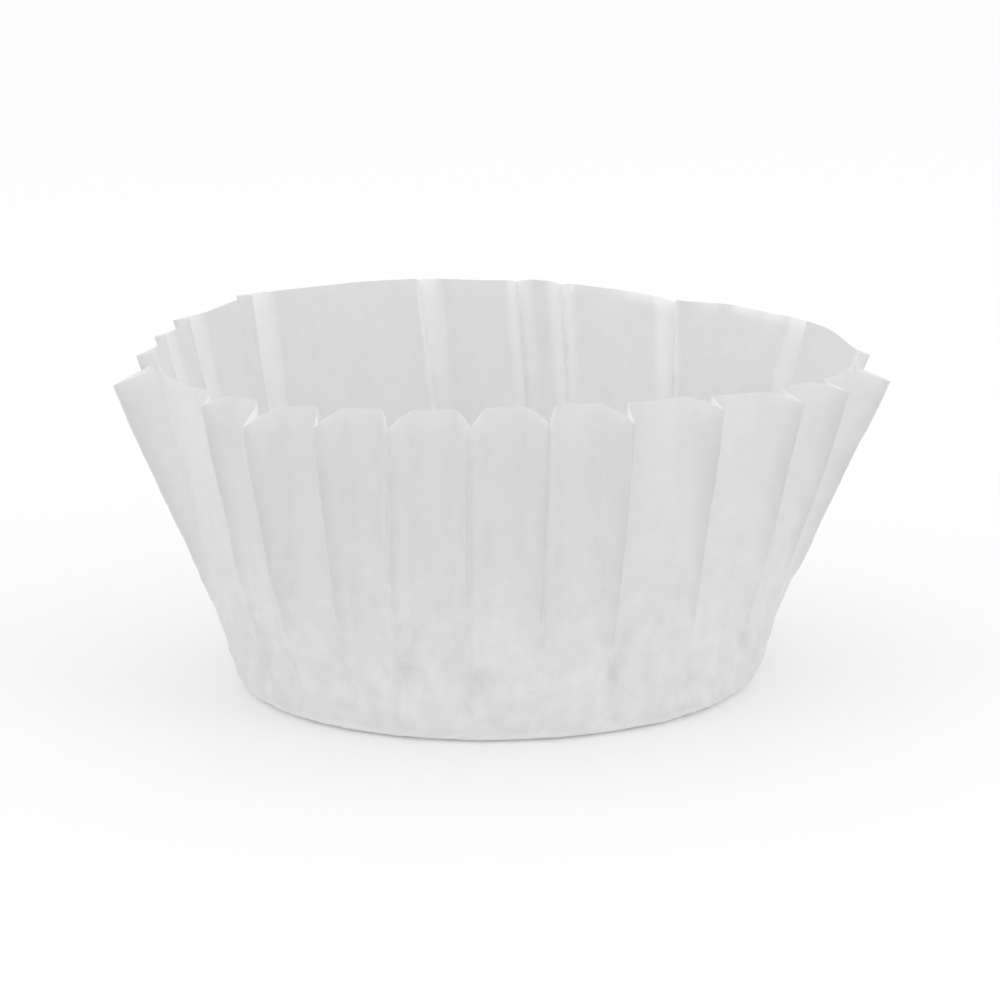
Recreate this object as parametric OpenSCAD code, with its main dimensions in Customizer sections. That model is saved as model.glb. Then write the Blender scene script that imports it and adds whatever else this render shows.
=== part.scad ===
// Basket coffee filter: one round sheet of paper, pressed into a flat base
// and a wall whose spare paper stands outward in narrow pleats.
// The front is -Y. Turns are in degrees from the front, positive to the right.

/* [Sheet] */
// Diameter of the flat round sheet before it is folded, mm
sheet_d = 247.6; // [225:0.2:265]
// How far the sheet lay off the centre of the base when it was pressed, mm
sheet_shift = 2; // [0:0.5:6]
// Turn of the side where that leaves the wall longest
sheet_shift_turn = -116; // [-180:1:180]
// Thickness of the paper, mm
paper_t = 0.15; // [0.12:0.01:0.25]

/* [Base] */
// Diameter of the circle where base and wall would meet in a sharp fold, mm
base_d = 108; // [95:0.5:120]
// How far that circle's long radius exceeds its mean radius, mm
base_oval = 1.3; // [0:0.1:4]
// Turn of the base's long radius
base_oval_turn = -32; // [-90:1:90]
// Radius of the rounded fold between base and wall, mm
base_edge_r = 4; // [2:0.5:8]

/* [Wall] */
// Lean of the plain wall panels from the vertical, degrees
wall_lean = 12.3; // [8:0.1:24]
// How far the mouth's long radius exceeds its mean radius, mm
mouth_oval = 5.4; // [0:0.2:7]
// Turn of the mouth's long radius
mouth_oval_turn = -60; // [-90:1:90]
// How far the mouth sits off the centre of the base, mm
mouth_shift = 2.6; // [0:0.2:7]
// Turn of the direction in which the mouth is shifted
mouth_shift_turn = 91; // [-180:1:180]

/* [Pleats] */
// Distance up the wall at which the pleats start, mm
pleat_start = 14; // [9:1:30]
// Length over which they come to take in all the spare paper, mm
pleat_fade = 30; // [10:1:50]
// Width of a pleat's foot at the rim, both flanks together, mm
pleat_foot = 7; // [4:0.25:8]
// Share of the foot that lies on the pleat's left, seen from outside
pleat_skew = 0.6; // [0.35:0.05:0.7]

/* [Hidden] */

// The pleats in order, each as [turn from it to the next one, height compared with the
// others, turn from its crease at the rim to its foot at the base]. The paper has
// relaxed, so they have opened and slanted unevenly: they stand closest in front, and
// lowest where the sides have flattened.
pleats = [
    [24.5, 0.95, -13], [10.5, 0.55, -9], [10.5, 1, -9], [10.5, 0.9, -6], [11.5, 1, -5],
    [11.5, 1, -2], [13, 1, 1], [17, 1.1, 3], [17, 0.8, 6], [13, 0.8, 9],
    [14.5, 0.75, 9], [18, 0.85, 7], [24.5, 0.3, 9], [26.5, 0.5, -1], [18.5, 0.7, -10],
    [7.5, 0.7, -7], [17.5, 0.7, -6], [39.5, 0.9, -5], [20.5, 0.7, -1], [12, 0.5, -9],
    [12, 0.3, -11], [10, 0.4, -11]
];
first_pleat_turn = -71.5;
pleat_n = len(pleats);

base_r = base_d / 2;
slope_len = (sheet_d - base_d) / 2;

// Longest stretch of panel between two points of a ring, mm
panel_step = 5;
// Places of the points across one flank of a pleat: 0 at the foot, 1 at the crease
flank_places = [0, 0.5];
// Curve of a flank: 1 is straight, more bends it from the panel out to the crease
flank_power = 1.1;
// Rings round the base fold, and rings up the pleats, closer where the pleats begin
fold_rings = 3;
pleat_rings = 11;
ring_power = 1.5;

function total(list) = len(list) == 0 ? 0 : list * [for (v = list) 1];

function pleat_turn(i) = first_pleat_turn + total([for (k = [0:1:i - 1]) pleats[k][0]]);

mean_share = total([for (p = pleats) p[1]]) / pleat_n;

// Height of pleat i as a share of the mean height
function pleat_share(i) = pleats[i][1] / mean_share;

function slant(i) = pleats[i % pleat_n][2];

// Radius of the sharp corner between base and wall
function corner_r(turn) = base_r + base_oval * cos(2 * (turn - base_oval_turn));

// Radius at which the plain panels of a centred sheet would end
function mouth_r(turn) =
    base_r + slope_len * sin(wall_lean)
    + mouth_oval * cos(2 * (turn - mouth_oval_turn))
    + mouth_shift * cos(turn - mouth_shift_turn);

function lean(turn) = asin((mouth_r(turn) - base_r) / slope_len);

// Length of each tangent of the base fold, from the sharp corner that it rounds off
function fold_tangent(turn) = base_edge_r * tan((90 - lean(turn)) / 2);

// Distance from that corner to the rim, up the wall. The rounded fold is shorter than
// the corner, and the paper that this saves goes into the wall.
function rim_s(turn) =
    slope_len + sheet_shift * cos(turn - sheet_shift_turn)
    + 2 * fold_tangent(turn) - base_edge_r * (90 - lean(turn)) * PI / 180;

// Length of wall below distance s that the pleats draw on, growing in smoothly
function pleated_len(s) =
    let (above = max(s - pleat_start, 0))
    above * above / (above + pleat_fade);

// Spare paper that each flank of a pleat takes in, at distance s up the wall
function flank_spare(s) =
    PI * pleated_len(s) * (1 - sin(wall_lean)) / pleat_n;

// Mean height of the pleats at distance s, so that they hold just that paper
function pleat_h(s) = sqrt(pow(flank_spare(s) + pleat_foot / 2, 2) - pow(pleat_foot / 2, 2));

// Turn that a length along the rim spans
function rim_span(length, turn) = length / mouth_r(turn) * 180 / PI;

function left_span(i) = rim_span(pleat_foot * pleat_skew, pleat_turn(i));

function right_span(i) = rim_span(pleat_foot * (1 - pleat_skew), pleat_turn(i));

// Point of pleat i at place p across a flank that spans that turn. The points of a ring
// are held as [turn at the rim, share of the mean pleat height, slant].
function flank_point(i, p, span) =
    [pleat_turn(i) + span * (1 - p), pow(p, flank_power) * pleat_share(i), slant(i)];

function left_flank(i) = [for (p = flank_places) flank_point(i, p, -left_span(i))];

function right_flank(i) =
    [for (k = [len(flank_places) - 1:-1:0]) flank_point(i, flank_places[k], right_span(i))];

// Plain points between pleat i and the next one
function panel(i) =
    let (
        from = pleat_turn(i) + right_span(i),
        to = pleat_turn(i + 1) - left_span((i + 1) % pleat_n),
        steps = ceil((to - from) / rim_span(panel_step, from))
    )
    [for (k = [1:1:steps - 1]) let (share = k / steps)
        [from + (to - from) * share, 0, slant(i) + (slant(i + 1) - slant(i)) * share]];

ring = [for (i = [0:pleat_n - 1])
    each concat(left_flank(i), [flank_point(i, 1, 0)], right_flank(i), panel(i))];
ring_n = len(ring);

function place(turn, r, z) = [r * sin(turn), -r * cos(turn), z];

// Point of the base fold, a share k of the way round it, below ring point q
function fold_point(q, k) =
    let (bend = k * (90 - lean(q[0])))
    place(q[0] + q[2],
        corner_r(q[0] + q[2]) - fold_tangent(q[0]) + base_edge_r * sin(bend),
        base_edge_r * (1 - cos(bend)));

// Point of the wall at distance s up it, below ring point q. Every point keeps its
// distance from the base, so the rim dips where a pleat stands out or slants.
function wall_point(q, s) =
    let (
        foot_r = corner_r(q[0] + q[2]),
        foot = place(q[0] + q[2], foot_r, 0),
        below = place(q[0] + q[2] * (1 - s / rim_s(q[0])),
            foot_r + s * sin(lean(q[0])) + q[1] * pleat_h(s), 0),
        away = below - foot
    )
    below + [0, 0, sqrt(s * s - away * away)];

// Distance up the wall of pleat ring k, from the pleats' start to the rim
function ring_s(turn, k) =
    pleat_start + (rim_s(turn) - pleat_start) * pow(k / pleat_rings, ring_power);

// The rings of the outer skin, from the edge of the flat base to the rim
outer_rings = concat(
    [for (k = [0:fold_rings]) [for (q = ring) fold_point(q, k / fold_rings)]],
    [for (k = [0:pleat_rings]) [for (q = ring) wall_point(q, ring_s(q[0], k))]]
);
rings_n = len(outer_rings);

function unit(v) = v / norm(v);

// Direction from the outer skin to the inner one at point i of ring j, drawn out in
// the creases so that the flanks keep the paper's thickness
function inward(j, i) =
    let (
        here = outer_rings[j][i],
        before = outer_rings[j][(i + ring_n - 1) % ring_n],
        after = outer_rings[j][(i + 1) % ring_n],
        up = j == 0 ? [here[0], here[1], 0]
            : outer_rings[min(j + 1, rings_n - 1)][i] - outer_rings[j - 1][i],
        n_before = unit(cross(up, here - before)),
        n_after = unit(cross(up, after - here))
    )
    (n_before + n_after) / (1 + n_before * n_after);

inner_rings = [for (j = [0:rings_n - 1])
    [for (i = [0:ring_n - 1]) outer_rings[j][i] + paper_t * inward(j, i)]];

// Both skins as one list of points: outer rings, inner rings, then the base's centres
skin_points = concat(
    [for (r = outer_rings) each r],
    [for (r = inner_rings) each r],
    [[0, 0, 0], [0, 0, paper_t]]
);
outer_centre = 2 * rings_n * ring_n;
inner_centre = outer_centre + 1;

function outer(j, i) = j * ring_n + i % ring_n;

function inner(j, i) = rings_n * ring_n + outer(j, i);

skin_faces = [for (i = [0:ring_n - 1]) each concat(
    [[outer_centre, outer(0, i), outer(0, i + 1)]],
    [[inner_centre, inner(0, i + 1), inner(0, i)]],
    [for (j = [0:rings_n - 2]) each [
        [outer(j, i), outer(j + 1, i), outer(j + 1, i + 1)],
        [outer(j, i), outer(j + 1, i + 1), outer(j, i + 1)],
        [inner(j, i), inner(j + 1, i + 1), inner(j + 1, i)],
        [inner(j, i), inner(j, i + 1), inner(j + 1, i + 1)]
    ]],
    [
        [outer(rings_n - 1, i), inner(rings_n - 1, i), inner(rings_n - 1, i + 1)],
        [outer(rings_n - 1, i), inner(rings_n - 1, i + 1), outer(rings_n - 1, i + 1)]
    ]
)];

module filter_paper() {
    color("#dadad9")
    polyhedron(skin_points, skin_faces, convexity = 10);
}

filter_paper();
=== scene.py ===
"""A basket coffee filter: one round sheet of soft white paper, pressed and pleated."""

import math

import bmesh
import bpy
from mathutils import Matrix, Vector, noise


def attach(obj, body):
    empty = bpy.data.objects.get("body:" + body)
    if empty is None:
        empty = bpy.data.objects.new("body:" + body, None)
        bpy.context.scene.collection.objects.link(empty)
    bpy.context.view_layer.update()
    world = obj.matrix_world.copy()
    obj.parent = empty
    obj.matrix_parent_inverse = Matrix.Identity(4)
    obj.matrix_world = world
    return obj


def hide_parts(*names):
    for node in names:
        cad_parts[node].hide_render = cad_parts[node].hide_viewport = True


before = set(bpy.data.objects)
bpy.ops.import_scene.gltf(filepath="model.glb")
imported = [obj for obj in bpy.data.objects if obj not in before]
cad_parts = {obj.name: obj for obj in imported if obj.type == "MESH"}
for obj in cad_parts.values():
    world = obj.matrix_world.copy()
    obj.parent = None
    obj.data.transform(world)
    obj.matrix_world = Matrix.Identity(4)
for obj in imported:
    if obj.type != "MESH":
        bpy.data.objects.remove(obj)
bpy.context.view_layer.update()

MM = 0.001

# ------------------------------------------------- the folded sheet, sized as in the source

SHEET_D = 247.6 * MM
SHEET_SHIFT = 2 * MM
SHEET_SHIFT_TURN = -116
PAPER_T = 0.15 * MM
BASE_R = 54 * MM
BASE_OVAL = 1.3 * MM
BASE_OVAL_TURN = -32
BASE_EDGE_R = 4 * MM
WALL_LEAN = math.radians(12.3)
MOUTH_OVAL = 5.4 * MM
MOUTH_OVAL_TURN = -60
MOUTH_SHIFT = 2.6 * MM
MOUTH_SHIFT_TURN = 91
PLEAT_START = 14 * MM
PLEAT_FADE = 30 * MM
PLEAT_FOOT = 7 * MM
PLEAT_SKEW = 0.6
SLOPE_LEN = SHEET_D / 2 - BASE_R

# The pleats in order, each as (turn from it to the next one, height compared with the
# others, turn from its crease at the rim to its foot at the base), in degrees.
PLEATS = [
    (24.5, 0.95, -13), (10.5, 0.55, -9), (10.5, 1, -9), (10.5, 0.9, -6), (11.5, 1, -5),
    (11.5, 1, -2), (13, 1, 1), (17, 1.1, 3), (17, 0.8, 6), (13, 0.8, 9),
    (14.5, 0.75, 9), (18, 0.85, 7), (24.5, 0.3, 9), (26.5, 0.5, -1), (18.5, 0.7, -10),
    (7.5, 0.7, -7), (17.5, 0.7, -6), (39.5, 0.9, -5), (20.5, 0.7, -1), (12, 0.5, -9),
    (12, 0.3, -11), (10, 0.4, -11),
]
FIRST_PLEAT_TURN = -71.5
MEAN_SHARE = sum(p[1] for p in PLEATS) / len(PLEATS)

# ------------------------------------------------- the limp paper's own small shapes

# Curve of a flank, from the panel out to the crease: 1 is straight. The limp paper curves
# where the source has flat facets.
FLANK_POWER = 1.8

# Random ridges in the sheet, each kind as (width round the sheet, length up it, where its
# pattern starts): crinkles, the ripples on them, and wide buckles.
CRINKLES = (2.6 * MM, 5.5 * MM, (0, 0))
RIPPLES = (1.3 * MM, 1.95 * MM, (7, 3))
BUCKLES = (9 * MM, 18 * MM, (2, 9))

# The crinkles' height, the distances up the wall between which they rise out of the base
# and between which the pleats take most of them in, and the share that is taken in.
CRINKLE_H = 0.75 * MM
CRINKLES_RISE = (-4 * MM, 3 * MM)
CRINKLES_FADE = (12 * MM, 38 * MM)
CRINKLES_TAKEN = 0.8

# The ripples' height, as a share of the crinkles', and all over the wall.
RIPPLE_SHARE = 0.35
RIPPLE_H = 0.05 * MM

# The buckles' height, the share of it at the base fold, and the distance up the wall at
# which they have it all. In the flat base they are low cockles.
BUCKLE_H = 0.55 * MM
LEAST_BUCKLE = 0.25
BUCKLES_FULL = 20 * MM
COCKLE_H = 0.25 * MM

# The puckers under the pleats' feet: greatest depth, half width, half height, how many
# half widths they reach, and how far aside, in degrees, and below the pleats' start they
# lie. Their level wanders by up to PUCKER_SPREAD. Each of the two draws, of a pucker's
# level and of its depth, is (step from pleat to pleat, start).
PUCKER_DEPTH = 1 * MM
PUCKER_HALF_WIDTH = 1.5 * MM
PUCKER_HALF_HEIGHT = 2.6 * MM
PUCKER_REACH = 3
PUCKER_ASIDE = 1
PUCKER_DROP = 1 * MM
PUCKER_SPREAD = 3.5 * MM
PUCKER_LEVEL_DRAW = (1.7, 4.2)
PUCKER_DEPTH_DRAW = (1.9, 105.45)
PUCKER_DEPTH_SPAN = (-0.35, 0.35)

# The cut edge: how far it wanders from a true circle, and over what width.
RIM_WAVE = 0.6 * MM
RIM_WAVE_WIDTH = 14 * MM

# Its painted highlight, where the cut edge along the back right catches the light: the
# turns between which it begins and between which it ends, the width, start and span of its
# random bright patches, and how far below the rim they begin and are full.
RIM_HIGHLIGHT_BEGINS = (120, 132)
RIM_HIGHLIGHT_ENDS = (165, 174)
RIM_HIGHLIGHT_WIDTH = 7 * MM
RIM_HIGHLIGHT_START = (5, 1, 2)
RIM_HIGHLIGHT_SPAN = (-0.2, 0.2)
RIM_HIGHLIGHT_FROM = 2.5 * MM
RIM_HIGHLIGHT_FULL = 0.5 * MM

# Below this level the sheet lies flat, and what pushes it out lifts it off the table.
FLAT_BELOW = 0.05 * MM
# Between these distances up the wall, the way out turns from the sheet's own to the plain
# wall's, so that the two flanks of a pleat stay together.
ONE_WAY_OUT = (PLEAT_START - 3 * MM, PLEAT_START + 6 * MM)
# From this distance up the wall, the creases are sharp.
SHARP_FROM = PLEAT_START + 2 * MM

# How finely the sheet is divided: points across a flank, the panels' step, and rows.
FLANK_POINTS = 9
PANEL_STEP = 2.1 * MM
BASE_ROWS = 12
FOLD_ROWS = 6
LOW_WALL_ROWS = 12
WALL_ROWS = 44

# ------------------------------------------------- the paper's tones and its painted light and shade

# The plain paper's tone, and the palest that any of it is.
PAPER_TONE = 0.884
MOST_TONE = 0.98

# What clouds and wider patches add or take, with the levels between which they grow faint
# and the share of them that is left above.
CLOUD_TONE = 0.02
PATCH_TONE = 0.012
CLOUDS_FADE = (12 * MM, 48 * MM)
CLOUDS_LEFT = 0.35

# Painted light: what the low wall adds, lifting the shade that the lamps leave there, and
# what its turned-under edge just over the table adds, lifting its contact shadow; each with
# the levels between which it ends.
LOW_PAINTED_LIGHT = 0.035
LOW_FADE = (0, 30 * MM)
UNDER_PAINTED_LIGHT = 0.09
UNDER_FADE = (0.2 * MM, 2.5 * MM)

# Painted light: what a raised fold adds inside the cup, where its flutes are lit bright,
# and the little that it adds outside, and the pleat height at which it has it all.
FOLD_PAINTED_LIGHT_IN = 0.07
FOLD_PAINTED_LIGHT_OUT = 0.008
FOLD_FULL = 6 * MM

# Painted light on the flanks: what the hollow of a flank adds inside and outside, the
# levels between which the outer one ends, and how far out on the flank it is strongest:
# halfway at 1.
HOLLOW_PAINTED_LIGHT_IN = 0.06
HOLLOW_PAINTED_LIGHT_OUT = 0.028
HOLLOW_FADE = (45 * MM, 66 * MM)
HOLLOW_POWER = 1.1

# Painted shade: what the outer side of a crease takes, and how closely that keeps to the
# crease.
CREASE_PAINTED_SHADE = -0.032
CREASE_POWER = 5

# What the painted highlight on the cut edge adds, and the painted shade that a pucker
# takes.
RIM_PAINTED_HIGHLIGHT = 0.1
DENT_PAINTED_SHADE = -0.045

# A face's outward direction times its distance from the axis tells its side: inside and
# outside blend between these two values.
SIDE_BLEND = (-3 * MM, 3 * MM)

# Share of the light that goes through the paper, and what a raised fold adds to it.
SHEET_THROUGH = 0.5
FOLD_THROUGH = 0.15

# Patterns in the paper, each as (scale, detail, stretch along the axes), and the values
# that they mostly keep between.
CLOUDS = (330, 3, (1, 1, 0.8))
PATCHES = (110, 2, (1, 1, 0.6))
FIBRES = (2600, 4, (1, 1, 1))
CREPE = (420, 4, (1, 1, 0.7))
PATTERN_SPAN = (0.33, 0.67)

# Height of the fibres in the paper's face, and how many times that the crepe has.
FIBRE_H = 0.06 * MM
CREPE_TIMES = 4

# ------------------------------------------------- the studio's sizes

# Strength of the light from all round, the floor's tone as the paper sees it, the floor's
# half width, and the gap that keeps it clear of the base.
TENT_LIGHT = 0.97
FLOOR_TONE = 0.97
FLOOR_HALF = 6
FLOOR_GAP = 0.2 * MM

# The softboxes, each as (name, turn, level, power), their size, their distance from the
# axis and the level that they point at.
SOFTBOXES = [("softbox_left", -50, 0.9, 0.7), ("softbox_right", 50, 0.9, 1.3)]
SOFTBOX_SIZE = 0.9
SOFTBOX_AWAY = 1.3
SOFTBOX_AIM_Z = 30 * MM

# The camera: lens and sensor in its own mm, angle that it looks down at, distance from a
# point on the axis and that point's level, place that it points at, and farthest sight.
LENS = 152.4
SENSOR = 36
CAMERA_DOWN = math.radians(13.28)
CAMERA_AWAY = 871 * MM
CAMERA_ROUND_Z = 30 * MM
CAMERA_AIM = (0.2 * MM, 0, 36.2 * MM)
CAMERA_FAR = 20


# ------------------------------------------------- the fold rule


def at(turn, r, z):
    """Place at that turn from the front, radius and level."""
    a = math.radians(turn)
    return Vector((r * math.sin(a), -r * math.cos(a), z))


def corner_r(turn):
    """Radius of the sharp corner between base and wall."""
    return BASE_R + BASE_OVAL * math.cos(math.radians(2 * (turn - BASE_OVAL_TURN)))


def mouth_r(turn):
    """Radius at which the plain panels of a centred sheet would end."""
    oval = MOUTH_OVAL * math.cos(math.radians(2 * (turn - MOUTH_OVAL_TURN)))
    shift = MOUTH_SHIFT * math.cos(math.radians(turn - MOUTH_SHIFT_TURN))
    return BASE_R + SLOPE_LEN * math.sin(WALL_LEAN) + oval + shift


def lean(turn):
    """Lean of the plain wall from the vertical."""
    return math.asin((mouth_r(turn) - BASE_R) / SLOPE_LEN)


def fold_tangent(turn):
    """Length that the rounded base fold takes from each side of its sharp corner."""
    return BASE_EDGE_R * math.tan((math.pi / 2 - lean(turn)) / 2)


def rim_s(turn):
    """Distance up the wall from the base's sharp corner to the rim. The rounded fold is
    shorter than the corner, and the paper that this saves goes into the wall."""
    shift = SHEET_SHIFT * math.cos(math.radians(turn - SHEET_SHIFT_TURN))
    saved = 2 * fold_tangent(turn) - BASE_EDGE_R * (math.pi / 2 - lean(turn))
    return SLOPE_LEN + shift + saved


def pleat_h(s):
    """Mean height of the pleats at distance s up the wall, from the spare paper there."""
    above = max(s - PLEAT_START, 0)
    pleated = above**2 / (above + PLEAT_FADE)
    spare = math.pi * pleated * (1 - math.sin(WALL_LEAN)) / len(PLEATS)
    return math.sqrt((spare + PLEAT_FOOT / 2) ** 2 - (PLEAT_FOOT / 2) ** 2)


def foot_spans(turn):
    """Turns that the left and the right part of a pleat's foot span at the rim."""
    left = math.degrees(PLEAT_FOOT * PLEAT_SKEW / mouth_r(turn))
    right = math.degrees(PLEAT_FOOT * (1 - PLEAT_SKEW) / mouth_r(turn))
    return left, right


def columns():
    """The lines that run up the sheet, each as (turn at the rim, share of height, slant,
    place on a flank, which is 0 on the panels and 1 at a crease)."""
    made = []
    places = [k / FLANK_POINTS for k in range(FLANK_POINTS)]
    turn = FIRST_PLEAT_TURN
    for i, (gap, height, slant) in enumerate(PLEATS):
        next_turn, next_slant = turn + gap, PLEATS[(i + 1) % len(PLEATS)][2]
        left, right = foot_spans(turn)
        share = height / MEAN_SHARE
        for p in places:
            made.append((turn - left * (1 - p), p**FLANK_POWER * share, slant, p))
        made.append((turn, share, slant, 1))
        for p in reversed(places):
            made.append((turn + right * (1 - p), p**FLANK_POWER * share, slant, p))
        start, end = turn + right, next_turn - foot_spans(next_turn)[0]
        steps = math.ceil(math.radians(end - start) * mouth_r(start) / PANEL_STEP)
        for k in range(1, steps):
            part = k / steps
            here = start + (end - start) * part
            made.append((here, 0, slant + (next_slant - slant) * part, 0))
        turn = next_turn
    return made


def on_base(column, k):
    """Point of the flat base, a share k of the way out to its edge."""
    turn, _, slant, _ = column
    return at(turn + slant, (corner_r(turn + slant) - fold_tangent(turn)) * k, 0)


def on_fold(column, k):
    """Point of the rounded fold, a share k of the way round it."""
    turn, _, slant, _ = column
    bend = k * (math.pi / 2 - lean(turn))
    r = corner_r(turn + slant) - fold_tangent(turn) + BASE_EDGE_R * math.sin(bend)
    return at(turn + slant, r, BASE_EDGE_R * (1 - math.cos(bend)))


def on_wall(column, s):
    """Point at distance s up the wall, which keeps its distance from the base."""
    turn, share, slant, _ = column
    foot_r = corner_r(turn + slant)
    foot = at(turn + slant, foot_r, 0)
    r = foot_r + s * math.sin(lean(turn)) + share * pleat_h(s)
    below = at(turn + slant * (1 - s / rim_s(turn)), r, 0)
    away = (below - foot).length
    return below + Vector((0, 0, math.sqrt(s * s - away * away)))


def wall_normal(column):
    """Outward direction square to the plain wall, the same on both flanks of a pleat."""
    slope = lean(column[0])
    return at(column[0], math.cos(slope), -math.sin(slope))


# ------------------------------------------------- the paper


def between(x, low, high):
    """0 below low, 1 above high, and a smooth rise between them."""
    k = min(max((x - low) / (high - low), 0), 1)
    return k * k * (3 - 2 * k)


def drawn(place, width, start):
    """Smooth random value from -1 to 1 at that place, the same in each run."""
    return noise.noise(place / width + Vector(start))


def row_place(row, column):
    """Folded place of the sheet's row, counted from the centre, on that column, and its
    distance up the wall, which is below 0 on the base."""
    turn = column[0]
    low = fold_tangent(turn)
    if row <= BASE_ROWS:
        k = row / BASE_ROWS
        return on_base(column, k), (BASE_R - low) * k - BASE_R
    row -= BASE_ROWS
    if row <= FOLD_ROWS:
        k = row / FOLD_ROWS
        return on_fold(column, k), low * (2 * k - 1)
    row -= FOLD_ROWS
    if row <= LOW_WALL_ROWS:
        s = low + (PLEAT_START - low) * row / LOW_WALL_ROWS
        return on_wall(column, s), s
    row -= LOW_WALL_ROWS
    wave = RIM_WAVE * drawn(at(turn, mouth_r(turn), 0), RIM_WAVE_WIDTH, (0, 0, 0))
    s = PLEAT_START + (rim_s(turn) + wave - PLEAT_START) * row / WALL_ROWS
    return on_wall(column, s), s


def ridge(kind, column, s):
    """How high, from -1 to 1, that kind of ridges is at that place on the sheet."""
    width, length, (x, y) = kind
    turn, _, slant, _ = column
    place = at(turn + slant, BASE_R + min(s, 0), 0)
    return drawn(place, width, (x, y, s / length))


def crinkle(column, s):
    """How far the spare paper that the pleats don't take in pushes the sheet outward."""
    crinkles, ripples, buckles = (
        ridge(kind, column, s) for kind in (CRINKLES, RIPPLES, BUCKLES)
    )
    taken = CRINKLES_TAKEN * between(s, *CRINKLES_FADE)
    crinkle_h = CRINKLE_H * between(s, *CRINKLES_RISE) * (1 - taken)
    if s < 0:
        return crinkle_h * abs(crinkles) + COCKLE_H * abs(buckles)
    risen = LEAST_BUCKLE + (1 - LEAST_BUCKLE) * between(s, 0, BUCKLES_FULL)
    return (
        crinkle_h * (crinkles + RIPPLE_SHARE * ripples)
        + BUCKLE_H * risen * buckles
        + RIPPLE_H * ripples
    )


def puckers():
    """The dents under the pleats' feet, each as (turn, distance up the wall, depth)."""
    made = []
    turn = FIRST_PLEAT_TURN
    for i, (gap, _, slant) in enumerate(PLEATS):
        level, depth = (
            noise.noise(Vector((i * step, start, 0.5)))
            for step, start in (PUCKER_LEVEL_DRAW, PUCKER_DEPTH_DRAW)
        )
        made.append((
            turn + slant + PUCKER_ASIDE,
            PLEAT_START + PUCKER_SPREAD * level - PUCKER_DROP,
            PUCKER_DEPTH * between(depth, *PUCKER_DEPTH_SPAN),
        ))
        turn += gap
    return made


def pucker(column, s, dents):
    """How deep the sheet is dented at that place."""
    base_turn = column[0] + column[2]
    depth = 0
    for turn, height, deep in dents:
        aside = math.radians((base_turn - turn + 180) % 360 - 180) * BASE_R
        off, up = aside / PUCKER_HALF_WIDTH, (s - height) / PUCKER_HALF_HEIGHT
        if off * off + up * up < PUCKER_REACH**2:
            depth += deep * math.exp(-off * off - up * up)
    return depth


def rim_highlight(turn, s):
    """How much painted highlight the cut edge has: here and there along the back right of
    the rim.
    """
    bright_patch = drawn(at(turn, mouth_r(turn), 0), RIM_HIGHLIGHT_WIDTH, RIM_HIGHLIGHT_START)
    stretch = between(turn, *RIM_HIGHLIGHT_BEGINS) * (1 - between(turn, *RIM_HIGHLIGHT_ENDS))
    by_rim = between(s, rim_s(turn) - RIM_HIGHLIGHT_FROM, rim_s(turn) - RIM_HIGHLIGHT_FULL)
    return stretch * between(bright_patch, *RIM_HIGHLIGHT_SPAN) * by_rim


def painted_light_and_shade_marks(column, s, dent):
    """How much of each painted light and shade is there, from 0 to 1; the fold also sets
    how much light goes through the paper.
    """
    turn, share, _, place = column
    raised = min(pleat_h(s) / FOLD_FULL, 1)
    return {
        "fold": min(share * pleat_h(s) / FOLD_FULL, 1),
        "dent": min(dent / PUCKER_DEPTH, 1),
        "hollow": math.sin(math.pi * place**HOLLOW_POWER) * raised,
        "crease": place**CREASE_POWER * raised,
        "rim_highlight": rim_highlight(turn, s),
    }


def flat_sheet(around, rows):
    """A flat round sheet: one line of points from the centre out, spun full circle."""
    bm = bmesh.new()
    line = [bm.verts.new((k * SHEET_D / 2 / rows, 0, 0)) for k in range(rows + 1)]
    edges = [bm.edges.new(pair) for pair in zip(line, line[1:])]
    bmesh.ops.spin(
        bm,
        geom=line + edges,
        cent=(0, 0, 0),
        axis=(0, 0, 1),
        angle=2 * math.pi,
        steps=around,
        use_merge=True,
    )
    bmesh.ops.remove_doubles(bm, verts=bm.verts, dist=0.01 * MM)
    return bm


def fold_sheet(bm, cols, rows):
    """Folds the flat sheet and puts on it the masks of its painted light and shade. Gives
    back how far each point is then pushed out, as (column, distance up the wall, push), and
    the crease points."""
    dents = puckers()
    layers = {
        name: bm.verts.layers.float.new(name)
        for name in ("fold", "dent", "hollow", "crease", "rim_highlight")
    }
    pushes, creases = {}, set()
    for v in bm.verts:
        row = round(v.co.length / (SHEET_D / 2) * rows)
        col = round(math.atan2(v.co.y, v.co.x) / (2 * math.pi) * len(cols)) % len(cols)
        column = cols[col]
        v.co, s = row_place(row, column)
        dent = pucker(column, s, dents)
        pushes[v] = column, s, crinkle(column, s) - dent
        for name, amount in painted_light_and_shade_marks(column, s, dent).items():
            v[layers[name]] = amount
        if column[3] == 1 and s > SHARP_FROM:
            creases.add(v)
    return pushes, creases


def push_out(pushes):
    """Pushes each point of the folded sheet outward, and none below the table."""
    for v, (column, s, far) in pushes.items():
        out = v.normal if v.co.z > FLAT_BELOW else Vector((0, 0, 1))
        out = out.lerp(wall_normal(column), between(s, *ONE_WAY_OUT))
        v.co += out * far
        v.co.z = max(v.co.z, 0)


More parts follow.
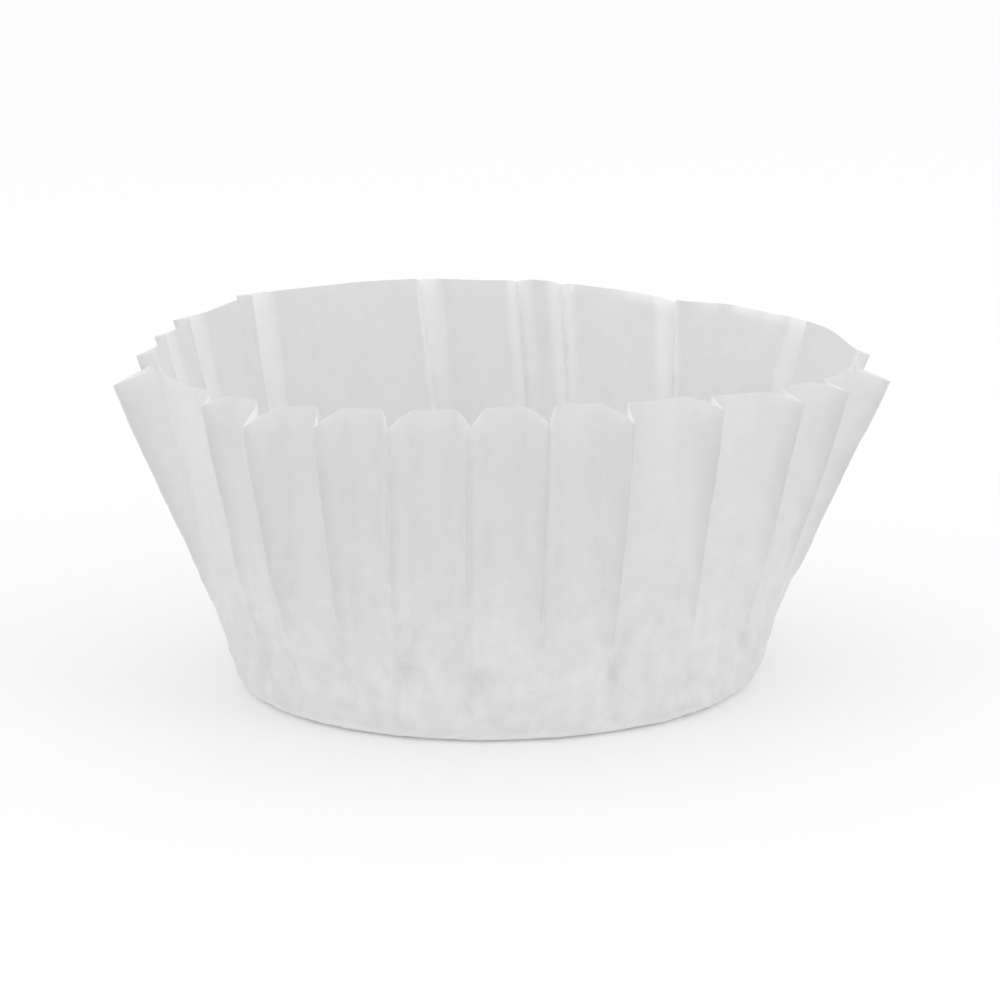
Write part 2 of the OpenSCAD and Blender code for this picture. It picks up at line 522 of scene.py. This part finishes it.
def pleated_paper():
    """The filter: its sheet folded, crinkled, creased and given its thickness."""
    cols = columns()
    rows = BASE_ROWS + FOLD_ROWS + LOW_WALL_ROWS + WALL_ROWS
    bm = flat_sheet(len(cols), rows)
    pushes, creases = fold_sheet(bm, cols, rows)
    # In an open cup, the faces that are made to agree all look inward. They are turned
    # round, so that dents and the paper's thickness go in from the outer side.
    bmesh.ops.recalc_face_normals(bm, faces=bm.faces)
    bmesh.ops.reverse_faces(bm, faces=bm.faces)
    push_out(pushes)
    for edge in bm.edges:
        edge.smooth = not edge.is_boundary and not creases.issuperset(edge.verts)
    mesh = bpy.data.meshes.new("filter_sheet")
    bm.to_mesh(mesh)
    bm.free()
    for face in mesh.polygons:
        face.use_smooth = True
    piece = bpy.data.objects.new("filter_sheet", mesh)
    bpy.context.collection.objects.link(piece)
    skin = piece.modifiers.new("thickness", "SOLIDIFY")
    skin.thickness = PAPER_T
    skin.offset = -1
    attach(piece, "root")
    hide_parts("filter_paper")
    return piece


# ------------------------------------------------- materials


def feed(tree, node, inputs):
    """Gives a node's inputs their values, or links them where sockets are given."""
    for name, value in inputs.items():
        if isinstance(value, bpy.types.NodeSocket):
            tree.links.new(value, node.inputs[name])
        else:
            node.inputs[name].default_value = value
    return node


def new_node(tree, kind, inputs, **settings):
    """A new shader node with those settings and inputs."""
    node = tree.nodes.new("ShaderNode" + kind)
    for name, value in settings.items():
        setattr(node, name, value)
    return feed(tree, node, inputs)


def maths(tree, operation, first, *others):
    """The values taken together, one after another, by that operation."""
    for value in others:
        node = new_node(tree, "Math", {0: first, 1: value}, operation=operation)
        first = node.outputs["Value"]
    return first


def ranged(tree, value, span, to_low, to_high):
    """That value, with the low and the high end of its span made the other two values."""
    low, high = span
    limits = {"From Min": low, "From Max": high, "To Min": to_low, "To Max": to_high}
    return new_node(tree, "MapRange", {"Value": value, **limits}).outputs["Result"]


def pattern(tree, place, kind):
    """One of the paper's patterns."""
    scale, detail, stretch = kind
    stretched = new_node(tree, "Mapping", {"Vector": place, "Scale": stretch})
    vector = stretched.outputs["Vector"]
    inputs = {"Vector": vector, "Scale": scale, "Detail": detail}
    return new_node(tree, "TexNoise", inputs).outputs["Fac"]


def mark(tree, name):
    """One of the sheet's tone marks."""
    return new_node(tree, "Attribute", {}, attribute_name=name).outputs["Fac"]


def paper_tone_and_painted_light(tree, coords, z, cloudy):
    """The paper's tone, its own and its clouds, and the painted light and shade that its
    level and each mark add.
    """
    place = coords.outputs["Object"]
    clouds, patches = (
        ranged(tree, pattern(tree, place, kind), PATTERN_SPAN, -tone, tone)
        for kind, tone in ((CLOUDS, CLOUD_TONE), (PATCHES, PATCH_TONE))
    )
    level = new_node(tree, "VectorMath", {0: place, 1: (1, 1, 0)}, operation="MULTIPLY")
    reach = {0: level.outputs["Vector"], 1: coords.outputs["Normal"]}
    outward = new_node(tree, "VectorMath", reach, operation="DOT_PRODUCT").outputs["Value"]

    def on_sides(name, inside, outside):
        """That mark, times one value inside the cup and another outside."""
        side = ranged(tree, outward, SIDE_BLEND, inside, outside)
        return maths(tree, "MULTIPLY", mark(tree, name), side)

    outer_hollow_light = ranged(tree, z, HOLLOW_FADE, HOLLOW_PAINTED_LIGHT_OUT, 0)
    tone = maths(
        tree,
        "ADD",
        maths(tree, "MULTIPLY", maths(tree, "ADD", clouds, patches), cloudy),
        # painted light on the low wall, and on the turned-under edge over its contact
        # shadow
        ranged(tree, z, LOW_FADE, LOW_PAINTED_LIGHT, 0),
        ranged(tree, z, UNDER_FADE, UNDER_PAINTED_LIGHT, 0),
        # painted light in the raised folds, mostly inside the cup
        on_sides("fold", FOLD_PAINTED_LIGHT_IN, FOLD_PAINTED_LIGHT_OUT),
        # painted light on the flanks, inside the cup and on the upper outer wall
        on_sides("hollow", HOLLOW_PAINTED_LIGHT_IN, 0),
        maths(tree, "MULTIPLY", on_sides("hollow", 0, 1), outer_hollow_light),
        # painted shade on the outer side of each crease
        on_sides("crease", 0, CREASE_PAINTED_SHADE),
        # painted highlight along the back right of the rim
        maths(tree, "MULTIPLY", mark(tree, "rim_highlight"), RIM_PAINTED_HIGHLIGHT),
        # painted shade in the puckers
        maths(tree, "MULTIPLY", mark(tree, "dent"), DENT_PAINTED_SHADE),
        PAPER_TONE,
    )
    return maths(tree, "MINIMUM", tone, MOST_TONE)


def paper_material():
    """Soft white paper that lets light through, cloudy and creped on its low wall."""
    mat = bpy.data.materials.new("filter_paper")
    mat.use_nodes = True
    tree = mat.node_tree
    coords = new_node(tree, "TexCoord", {})
    place = coords.outputs["Object"]
    z = new_node(tree, "SeparateXYZ", {"Vector": place}).outputs["Z"]
    cloudy = ranged(tree, z, CLOUDS_FADE, 1, CLOUDS_LEFT)
    tone = paper_tone_and_painted_light(tree, coords, z, cloudy)
    tones = {"Red": tone, "Green": tone, "Blue": tone}
    colour = new_node(tree, "CombineColor", tones).outputs["Color"]

    crepe = maths(tree, "MULTIPLY", pattern(tree, place, CREPE), cloudy, CREPE_TIMES)
    grain = maths(tree, "ADD", pattern(tree, place, FIBRES), crepe)
    bumps = {"Strength": 1, "Distance": FIBRE_H, "Height": grain}
    normal = new_node(tree, "Bump", bumps).outputs["Normal"]

    off = feed(tree, tree.nodes["Principled BSDF"], {
        "Base Color": colour,
        "Roughness": 0.9,
        "Specular IOR Level": 0.2,
        "Sheen Weight": 0.5,
        "Sheen Roughness": 0.5,
        "Normal": normal,
    })
    through = new_node(tree, "BsdfTranslucent", {"Color": colour, "Normal": normal})
    raised = SHEET_THROUGH + FOLD_THROUGH
    share = ranged(tree, mark(tree, "fold"), (0, 1), SHEET_THROUGH, raised)
    both = {"Fac": share, 1: off.outputs["BSDF"], 2: through.outputs["BSDF"]}
    mix = new_node(tree, "MixShader", both)
    feed(tree, tree.nodes["Material Output"], {"Surface": mix.outputs["Shader"]})
    return mat


def floor_material():
    """Pale floor, which the camera sees as white."""
    mat = bpy.data.materials.new("studio_floor")
    mat.use_nodes = True
    tree = mat.node_tree
    seen = new_node(tree, "LightPath", {}).outputs["Is Camera Ray"]
    pale = (FLOOR_TONE, FLOOR_TONE, FLOOR_TONE, 1)
    tones = {"Factor": seen, "A": pale, "B": (1, 1, 1, 1)}
    colour = new_node(tree, "Mix", tones, data_type="RGBA").outputs["Result"]
    matt = {"Base Color": colour, "Roughness": 1, "Specular IOR Level": 0}
    feed(tree, tree.nodes["Principled BSDF"], matt)
    return mat


# ------------------------------------------------- studio


def studio_floor():
    """Level floor just under the filter's base."""
    bm = bmesh.new()
    bmesh.ops.create_grid(bm, x_segments=1, y_segments=1, size=FLOOR_HALF)
    mesh = bpy.data.meshes.new("studio_floor")
    bm.to_mesh(mesh)
    bm.free()
    floor = bpy.data.objects.new("studio_floor", mesh)
    bpy.context.collection.objects.link(floor)
    mesh.materials.append(floor_material())
    floor.location.z = -FLOOR_GAP


def soft_tent():
    """Even light from all round, which the camera and shiny things see as white."""
    world = bpy.data.worlds.new("soft_tent")
    bpy.context.scene.world = world
    world.use_nodes = True
    tree = world.node_tree
    tree.nodes.clear()
    path = new_node(tree, "LightPath", {}).outputs
    rays = ("Is Camera Ray", "Is Glossy Ray", "Is Transmission Ray")
    seen = maths(tree, "MAXIMUM", *(path[ray] for ray in rays))
    light, white = (
        new_node(tree, "Background", {"Color": (1, 1, 1, 1), "Strength": strength})
        for strength in (TENT_LIGHT, 1)
    )
    both = {"Fac": seen, 1: light.outputs["Background"], 2: white.outputs["Background"]}
    mix = new_node(tree, "MixShader", both)
    new_node(tree, "OutputWorld", {"Surface": mix.outputs["Shader"]})


def point_at(thing, place):
    """Turns a lamp or a camera so that it looks at that place."""
    aim = Vector(place) - thing.location
    thing.rotation_euler = aim.to_track_quat("-Z", "Y").to_euler()


def softboxes():
    """Two weak round softboxes above the front, left and right."""
    for name, turn, level, power in SOFTBOXES:
        lamp = bpy.data.lights.new(name, "AREA")
        lamp.shape = "DISK"
        lamp.size = SOFTBOX_SIZE
        lamp.energy = power
        box = bpy.data.objects.new(name, lamp)
        bpy.context.collection.objects.link(box)
        box.location = at(turn, SOFTBOX_AWAY, level)
        point_at(box, (0, 0, SOFTBOX_AIM_Z))


def camera():
    """Long lens from the front, looking a little down into the mouth."""
    data = bpy.data.cameras.new("camera")
    data.lens = LENS
    data.sensor_width = SENSOR
    data.clip_end = CAMERA_FAR
    cam = bpy.data.objects.new("camera", data)
    bpy.context.collection.objects.link(cam)
    level = CAMERA_ROUND_Z + CAMERA_AWAY * math.sin(CAMERA_DOWN)
    cam.location = at(0, CAMERA_AWAY * math.cos(CAMERA_DOWN), level)
    point_at(cam, CAMERA_AIM)
    bpy.context.scene.camera = cam


paper = pleated_paper()
paper.data.materials.append(paper_material())
studio_floor()
soft_tent()
softboxes()
camera()
bpy.context.scene.view_settings.view_transform = "Standard"
